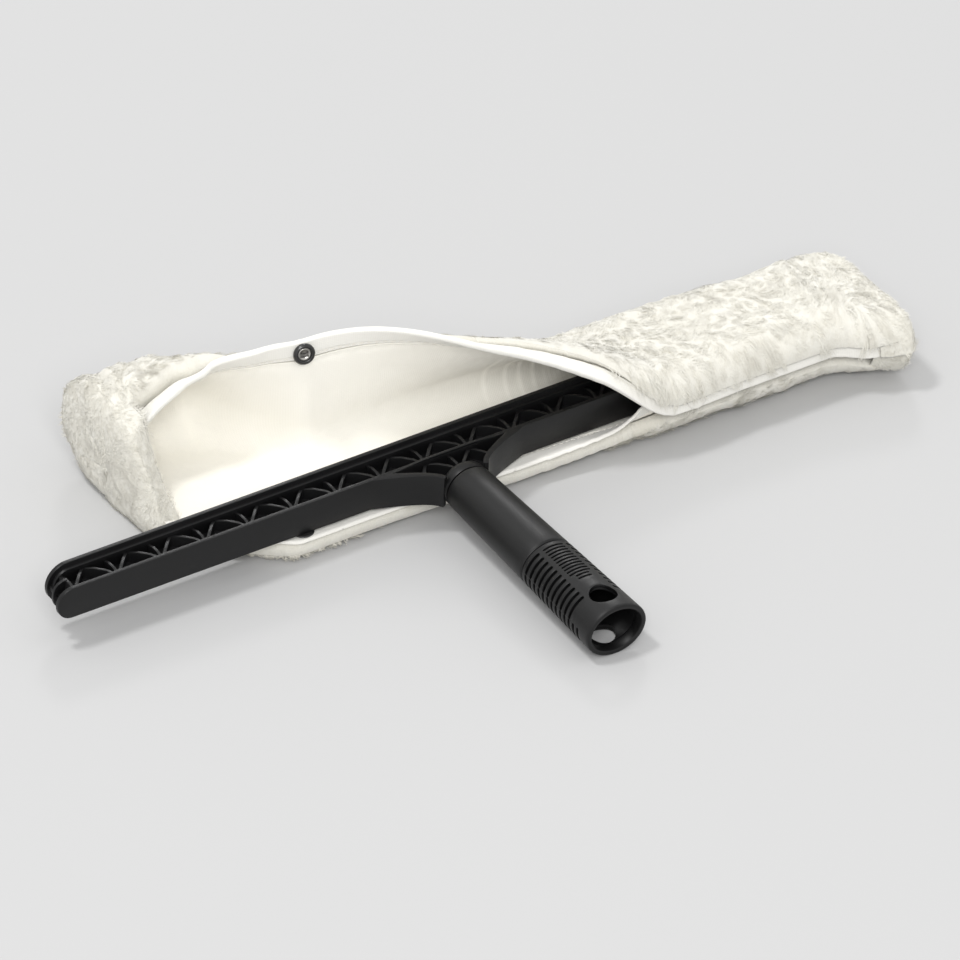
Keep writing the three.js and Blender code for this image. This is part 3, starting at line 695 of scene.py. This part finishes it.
def build_stitches():
    """Raised threads along both hems, each stitch a short bowed cord."""
    points, faces = [], []
    t = np.linspace(0, 1, STITCH_RINGS)
    depth = STITCH_DEPTH - np.sin(t * math.pi) * STITCH_RISE
    thick = (THREAD_RADIUS * np.sin(np.clip(t, 0.06, 0.94) * math.pi) ** 0.4)[:, None, None]
    a = np.arange(STITCH_SIDES) * 2 * math.pi / STITCH_SIDES
    for line in (upper_stitch_line, lambda x: LOWER_STITCH + 0 * x):
        for start in np.arange(LEFT_END + 1.5, RIGHT_END - 3, STITCH_PITCH):
            x = start + t * STITCH_LENGTH
            s = line(x)
            middle = sleeve(x, s, depth)
            side = sleeve(x, s + 0.3, depth) - middle
            side /= np.linalg.norm(side, axis=1)[:, None]
            along = np.gradient(middle, axis=0)
            up = np.cross(along, side)
            up /= np.linalg.norm(up, axis=1)[:, None]
            tube = middle[:, None] + thick * (side[:, None] * np.cos(a)[None, :, None]
                                              + up[:, None] * np.sin(a)[None, :, None])
            first = len(points) * STITCH_RINGS * STITCH_SIDES
            faces.append(grid_faces(STITCH_RINGS, STITCH_SIDES, first, wrap=True))
            points.append(tube.reshape(-1, 3))
    points, faces = np.concatenate(points), np.concatenate(faces)
    return make("hem_stitching", points, faces, THREAD, "sleeve")


def matting(x, s):
    """Relief of the matted pile: low lumps with creases between them."""
    place = cloth_place(x, s)
    creased = ridged(place, 13, 41)
    return (noise(place, 20, 40) * 0.9 + (creased - 0.5) * 0.9 + noise(place, 5, 42) * 0.35
            + noise(place, 2.2, 43) * 0.2 + noise(place * [0.6, 1.4], 1.1, 44) * 0.1)


def pile_face(x, s):
    """The pile's outer face under its loose fibres."""
    edge = np.clip(np.minimum(s - pile_start(x), pile_end(x) - s) / 4, 0.15, 1)
    return np.maximum(0.5, pile_depth(x, s) - 0.9 + matting(x, s) * edge)


def spill(x, s):
    """How much further along the cloth the pile hangs where it covers the closed flap's hem."""
    return 3.4 * wrapped(x) * smooth(s, pile_end(x) - 7, pile_end(x))


def build_plush():
    x = columns(520)
    s = rows(pile_start(x), pile_end(x), 250)
    x, s = np.broadcast_arrays(x, s)
    points, faces = shell(sleeve(x, s, 0.3 + 0 * s), sleeve(x, s + spill(x, s), pile_face(x, s)))
    return make("plush_sheet", points, faces, PILE, "sleeve", ("plush_cover",))


# ---------- end closures ----------
def around_end(x, out, front, lip=0):
    """The outline of a closed end at x: over the plush, then down the front between the two hems."""
    s = np.linspace(0.6, cloth_width(x) - 0.6, 150)
    over = sleeve(x, s, np.maximum(1.6, pile_face(np.full(150, x), s)) + out)
    top, bottom = over[-1], over[0]
    bend = np.array([x, *front]) + (0, lip, 0)
    t = np.linspace(0, 1, 32)[1:-1, None]
    return np.concatenate([over, (1 - t) ** 2 * top + 2 * t * (1 - t) * bend + t * t * bottom])


# The rolled edge of a closure's mouth, as rings (how far past the mouth, how far back the front panel turns).
MOUTH_ROLL = ((2.4, 5), (0.7, 2.4), (0.1, 0.6), (0.3, 0), (1.2, 0))
SIDE_RINGS, CAP_RINGS = 10, 21
TUCKS, TUCK_WIDTH = (0.3, 0.46, 0.6, 0.74), 0.012  # as shares of the way round


def closure(name, node, mouth, end, fronts, reach_mm):
    """The plush sewn over one end of the sleeve, from the slit's end to a domed cap with tucks in it."""
    outward = 1 if end > mouth else -1
    rings = []
    for inset, back in MOUTH_ROLL:
        rings.append(around_end(float(mouth + outward * inset), -0.7, fronts[0], back))
    for share in np.linspace(0.12, 1, SIDE_RINGS):
        x = mouth + (end - mouth) * share
        front = (1 - share) * np.array(fronts[0]) + share * np.array(fronts[1])
        rings.append(around_end(float(x), share * 1.2 - 0.7, front))
    outline, count = rings[-1], len(rings[-1])
    centre = outline.mean(0)
    for share in np.linspace(0, 1, CAP_RINGS + 1)[1:]:
        ring = centre + (outline - centre) * math.cos(share * math.pi / 2) ** 0.55
        ring[:, 0] = end + outward * math.sin(share * math.pi / 2) * reach_mm
        rings.append(ring)
    points = np.array(rings)
    amount = np.concatenate([np.zeros(len(MOUTH_ROLL)), np.linspace(0.1, 1, SIDE_RINGS),
                             np.linspace(1, 0.6, CAP_RINGS)])[:, None]
    turn = np.linspace(0, 1, count)
    tucks = sum(np.exp(-((turn - at) / TUCK_WIDTH) ** 2) for at in TUCKS)
    bulge = noise(points, 9, 51) * 0.8 + noise(points, 3, 52) * 0.4 - 1.1 * tucks[None, :]
    away = points - centre
    away[..., 0] *= 1.5
    away /= np.linalg.norm(away, axis=-1)[..., None] + 1e-6
    points = points + away * (bulge * amount)[..., None]
    points[..., 2] = np.maximum(points[..., 2], 0.2)
    faces = grid_faces(len(points), count, wrap=True)
    return make(name, points.reshape(-1, 3), faces, PILE, "sleeve", (node,)), points


# ---------- loose fibres ----------
LOCK_SIZE = 3.4  # fibres lie in locks of about this size
FIBRE_STEPS = 4
CLOTH_REACH = 150  # further along the cloth than any pile lies
DRAWN_PER_MM = 130  # fibres drawn for each millimetre of x at a density of 1; those off the pile are dropped


def ribbon_faces(count):
    """The faces of ribbons whose points come in pairs, from root to tip."""
    pairs = FIBRE_STEPS + 1
    first = np.arange(count)[:, None] * pairs * 2 + np.arange(FIBRE_STEPS)[None, :] * 2
    return np.stack([first, first + 1, first + 3, first + 2], -1).reshape(-1, 4)


def ribbons(root, normal, flow, side, length, lift, width, wave):
    """Thin tapered ribbons that lie over along flow; all arguments are arrays over the fibres."""
    t = np.linspace(0, 1, FIBRE_STEPS + 1)[None, :, None]
    path = (root[:, None] + flow[:, None] * length[:, None, None] * t
            + normal[:, None] * lift[:, None, None] * (np.sin(t * 2.4) * 0.9)
            + side[:, None] * (wave[:, None, None] * np.sin(t * 5 + wave[:, None, None] * 9)))
    half = side[:, None] * width[:, None, None] * (1 - t**2 * 0.8) / 2
    return np.stack([path - half, path + half], 2).reshape(-1, 3), ribbon_faces(len(root))


def sleeve_fibres(name, x_range, seed, per_mm2):
    """Loose fibres over a stretch of the sleeve, lying over in locks."""
    rng = np.random.default_rng(seed)
    count = int((x_range[1] - x_range[0]) * DRAWN_PER_MM * per_mm2)
    x = rng.uniform(*x_range, count)
    s = rng.uniform(0, CLOTH_REACH, count)
    inside = (s > pile_start(x) + 0.3) & (s < pile_end(x) - 0.3)
    x, s = x[inside], s[inside]
    n = len(x)
    place = cloth_place(x, s)
    cell = np.floor((place + np.stack([noise(place, 9, 61), noise(place, 9, 62)], -1) * 2.5) / LOCK_SIZE)
    column, row = cell.astype(int).T

    def lock(seed):
        return lattice(column, row, 0 * column, seed)

    centre = (cell + 0.5) * LOCK_SIZE
    angle = noise(place, 30, 63) * 2.4 + (lock(64) - 0.5) * 2.2 + rng.normal(0, 0.25, n)
    length = rng.uniform(2.2, 4.6, n) * (0.7 + 0.6 * lock(65))
    drift = (centre - place) * 0.55
    dx, ds = np.cos(angle) * length + drift[:, 0], np.sin(angle) * length + drift[:, 1]
    base = np.maximum(0.3, pile_face(x, s) - 0.5)
    lift = 0.6 + 0.75 * lock(66) * rng.uniform(0.3, 1, n)
    rim = np.minimum(s - pile_start(x), pile_end(x) - s) < 2.5
    lift = np.where(rim, lift * 0.6, lift)
    t = np.linspace(0, 1, FIBRE_STEPS + 1)[None, :]
    wave = rng.normal(0, 0.28, n)[:, None] * np.sin(t * 5 + rng.uniform(0, 6, n)[:, None])
    cos, sin = np.cos(angle)[:, None], np.sin(angle)[:, None]
    px = np.clip(x[:, None] + dx[:, None] * t - sin * wave, LEFT_END, RIGHT_END)
    ps = s[:, None] + ds[:, None] * t + cos * wave
    ps = np.clip(ps + spill(px, ps), 0.5, cloth_width(px) - 0.5)
    over = base[:, None] + lift[:, None] * np.sin(t * 2.3)
    under = np.maximum(pile_face(px, ps), 0.5)
    over = np.where(t > 0.3, np.maximum(over, np.minimum(under + 0.12, over + 1.2)), over)
    half = rng.uniform(0.1, 0.2, n)[:, None] * (1 - t**2 * 0.75)
    a = sleeve(np.clip(px - sin * half, LEFT_END, RIGHT_END), ps + cos * half, over)
    b = sleeve(np.clip(px + sin * half, LEFT_END, RIGHT_END), ps - cos * half, over)
    return make(name, np.stack([a, b], 2).reshape(-1, 3), ribbon_faces(n), PILE, "sleeve")


def closure_fibres(name, points, seed, per_mm2):
    """Loose fibres over a closure, given its rings of points."""
    rng = np.random.default_rng(seed)
    nodes = points[3:-1]
    down = np.diff(points[3:], axis=0)
    right = np.roll(nodes, -1, axis=1) - nodes
    normal = np.cross(down, right).reshape(-1, 3)
    size = np.linalg.norm(normal, axis=1)
    n = int(size.sum() * per_mm2)
    pick = rng.choice(len(size), n, p=size / size.sum())
    spot = rng.random((n, 2, 1))
    down, right = down.reshape(-1, 3)[pick], right.reshape(-1, 3)[pick]
    p = nodes.reshape(-1, 3)[pick] + down * spot[:, 0] + right * spot[:, 1]
    normal = normal[pick] / size[pick, None]
    normal *= np.sign((normal * (p - points.mean((0, 1)))).sum(1))[:, None]
    down /= np.linalg.norm(down, axis=1)[:, None] + 1e-9
    side = np.cross(normal, down)
    angle = noise(p, 14, 71) * 3 + rng.normal(0, 0.35, n)
    flow = down * np.cos(angle)[:, None] + side * np.sin(angle)[:, None]
    pts, faces = ribbons(p - normal * 0.5, normal, flow, np.cross(normal, flow), rng.uniform(1.8, 3.6, n),
                         rng.uniform(0.5, 1.1, n), rng.uniform(0.2, 0.38, n), rng.normal(0, 0.12, n))
    return make(name, pts, faces, PILE, "sleeve")


# ---------- snaps ----------
HEM_IN, HEM_OUT, SNAP_GAP, SNAP_IN = 1.5, 1.4, 0.6, 5


def on_cloth(x, s_of, depth, facing):
    """Where a snap piece sits: its axis across the cloth, towards the plush (+1) or the lining (-1)."""
    def point(dx, ds):
        return sleeve(x + dx, s_of(x + dx) + ds, 0)

    along = point(1, 0) - point(-1, 0)
    across = point(0, 1) - point(0, -1)
    along, across = along / np.linalg.norm(along), across / np.linalg.norm(across)
    out = np.cross(across, along)
    out /= np.linalg.norm(out)
    if out @ (sleeve(x, s_of(x), 1) - sleeve(x, s_of(x), 0)) < 0:
        out = -out
    place = point(0, 0) + out * depth
    out = out * facing
    basis = Matrix(np.stack([along, np.cross(out, along), out], 1).tolist()).to_4x4()
    return (Matrix.Translation(Vector(SHIFT * MM)) @ Matrix.Diagonal((MM, MM, MM, 1))
            @ Matrix.Translation(Vector(place)) @ basis)


def turned(name, profile, matrix, material, replaces=(), radius=0.15):
    points, faces = lathe(rounded(profile, radius))
    return make(name, points, faces, material, "sleeve", replaces, matrix=matrix)


def spring_wires(name, matrix, radius=1.55, offset=0.95):
    """The two bowed wires that grip the stud."""
    points, faces, rings, sides = [], [], 15, 8
    t = np.linspace(-1, 1, rings)
    for side in (-1, 1):
        line = np.stack([t * radius, side * (offset - 0.35 * (1 - t**2)), 1.28 + 0 * t], -1)
        along = np.gradient(line, axis=0)
        along /= np.linalg.norm(along, axis=1)[:, None]
        up = np.array([0, 0, 1.0])
        across = np.cross(along, up)
        a = np.arange(sides) * 2 * math.pi / sides
        around = across[:, None] * np.cos(a)[None, :, None] + up * np.sin(a)[None, :, None]
        tube = line[:, None] + 0.24 * around
        faces.append(grid_faces(rings, sides, len(points) * rings * sides, wrap=True))
        points.append(tube.reshape(-1, 3))
    points, faces = np.concatenate(points), np.concatenate(faces)
    return make(name, points, faces, SPRING, "sleeve", matrix=matrix)


def build_snap(name, upper_x, lower_x):
    def upper(x):
        return cloth_width(x) - SNAP_IN

    def lower(x):
        return SNAP_IN + 0 * x

    inside = on_cloth(upper_x, upper, -HEM_IN - SNAP_GAP, -1)
    outside = on_cloth(upper_x, upper, HEM_OUT + SNAP_GAP, 1)
    lining = on_cloth(lower_x, lower, -HEM_IN - SNAP_GAP, -1)
    under = on_cloth(lower_x, lower, 0.3, 1)
    return [
        turned(f"{name}_socket_ring",
               [(2.5, -0.5), (4.1, -0.5), (4.5, 0.3), (4.35, 1.25), (3.6, 1.75), (3.0, 1.7), (2.65, 1.2),
                (2.6, 0.3), (2.5, -0.5)], inside, ENAMEL, (f"{name}_snap_socket",), 0.35),
        turned(f"{name}_socket_disc",
               [(0, 0.35), (0.8, 0.35), (1.2, 0.55), (1.75, 1.0), (2.3, 1.15), (2.62, 1.0), (2.62, 0.2),
                (0, 0.2)], inside, STEEL, (f"{name}_snap_spring",), 0.2),
        spring_wires(f"{name}_socket_wires", inside),
        turned(f"{name}_socket_cap",
               [(0, 0.45), (2.4, 0.4), (3.9, 0.2), (4.5, -0.2), (4.45, -0.5), (3.9, -0.6), (0, -0.6)],
               outside, HEM, (f"{name}_snap_cap",), 0.3),
        turned(f"{name}_stud_knob",
               [(0, 2.0), (1.2, 2.0), (1.6, 1.7), (1.5, 1.1), (1.9, 0.7), (3.9, 0.5), (4.1, 0.2), (4.0, 0.0),
                (0, 0.0)], under, STEEL, (f"{name}_snap_stud",), 0.2),
        turned(f"{name}_stud_post",
               [(0, 0.7), (3.0, 0.65), (4.1, 0.45), (4.5, 0.15), (4.4, -0.1), (1.5, -0.15), (0, -0.15)],
               lining, ENAMEL, (f"{name}_snap_post",), 0.25),
    ]


# ---------- build ----------
build_tbar()
build_lining()
upper_hem, lower_hem = build_hems()
stitching = build_stitches()
plush = build_plush()
# Where each closure's front panel bends: (y, z) at its mouth and at its end.
RIGHT_FRONTS = ((-22, 18), (-27, 16))
LEFT_FRONTS = ((52, 14), (44, 24))
right_cap, right_points = closure("right_end_plush", "right_end_closure", 185, RIGHT_END, RIGHT_FRONTS, 6.4)
left_cap, left_points = closure("left_end_plush", "left_end_closure", -98.5, LEFT_END, LEFT_FRONTS, 4.6)
snaps = build_snap("left", -32, -64.6) + build_snap("right", 106, 106)
DENSITY = 2.1
fibres = [
    sleeve_fibres("pile_left", (-114, -42), 1, DENSITY),
    sleeve_fibres("pile_middle", (-42, 38), 2, DENSITY),
    sleeve_fibres("pile_right", (38, 118), 3, DENSITY),
    sleeve_fibres("pile_far_right", (118, 196), 4, DENSITY),
    closure_fibres("pile_right_end", right_points, 5, DENSITY),
    closure_fibres("pile_left_end", left_points, 6, DENSITY),
]


# ---------- studio ----------
def soft_light(name, place, size, power, target=(0, 0, 0.02)):
    light = bpy.data.lights.new(name, "AREA")
    light.shape, light.size, light.energy = "DISK", size, power
    obj = bpy.data.objects.new(name, light)
    obj.location = place
    obj.rotation_euler = (Vector(target) - Vector(place)).to_track_quat("-Z", "Y").to_euler()
    bpy.context.scene.collection.objects.link(obj)


def studio():
    mesh = bpy.data.meshes.new("floor")
    bm = bmesh.new()
    bmesh.ops.create_grid(bm, x_segments=2, y_segments=2, size=6)
    bm.to_mesh(mesh)
    bm.free()
    floor = bpy.data.objects.new("floor", mesh)
    bpy.context.scene.collection.objects.link(floor)
    f = Finish("floor_paper", 0.95, Specular_IOR_Level=0.1)
    f.paint(f.ramp(f.grain(700, 2), (0.3, (0.515, 0.515, 0.515)), (0.7, (0.519, 0.519, 0.519))))
    floor.data.materials.append(f.material)
    world = bpy.data.worlds.new("studio")
    world.use_nodes = True
    world.node_tree.nodes["Background"].inputs["Color"].default_value = (1, 1, 1, 1)
    world.node_tree.nodes["Background"].inputs["Strength"].default_value = 0.82
    bpy.context.scene.world = world
    soft_light("key", (-1.7, 1.1, 5.3), 0.9, 105)
    soft_light("rim", (1.44, 2.24, 1.79), 0.6, 14)
    soft_light("front", (-2.0, -3.6, 3.4), 2.2, 125)


VIEW_CENTRE = (20.96, 9.52)  # where the camera looks at the floor, beside the bar's middle


def camera():
    data = bpy.data.cameras.new("camera")
    data.sensor_width, data.lens = 36, 1162.4
    data.clip_start, data.clip_end = 1, 60
    obj = bpy.data.objects.new("camera", data)
    a, e = math.radians(-32.9), math.radians(34.0)
    back = Vector((math.sin(a) * math.cos(e), -math.cos(a) * math.cos(e), math.sin(e)))
    target = Vector(((VIEW_CENTRE[0] + SHIFT[0]) * MM, (VIEW_CENTRE[1] + SHIFT[1]) * MM, 0))
    obj.location = target + back * 12.0
    obj.rotation_mode = "QUATERNION"
    obj.rotation_quaternion = (-back).to_track_quat("-Z", "Y")
    bpy.context.scene.collection.objects.link(obj)
    bpy.context.scene.camera = obj


studio()
camera()
bpy.context.scene.view_settings.view_transform = "Standard"
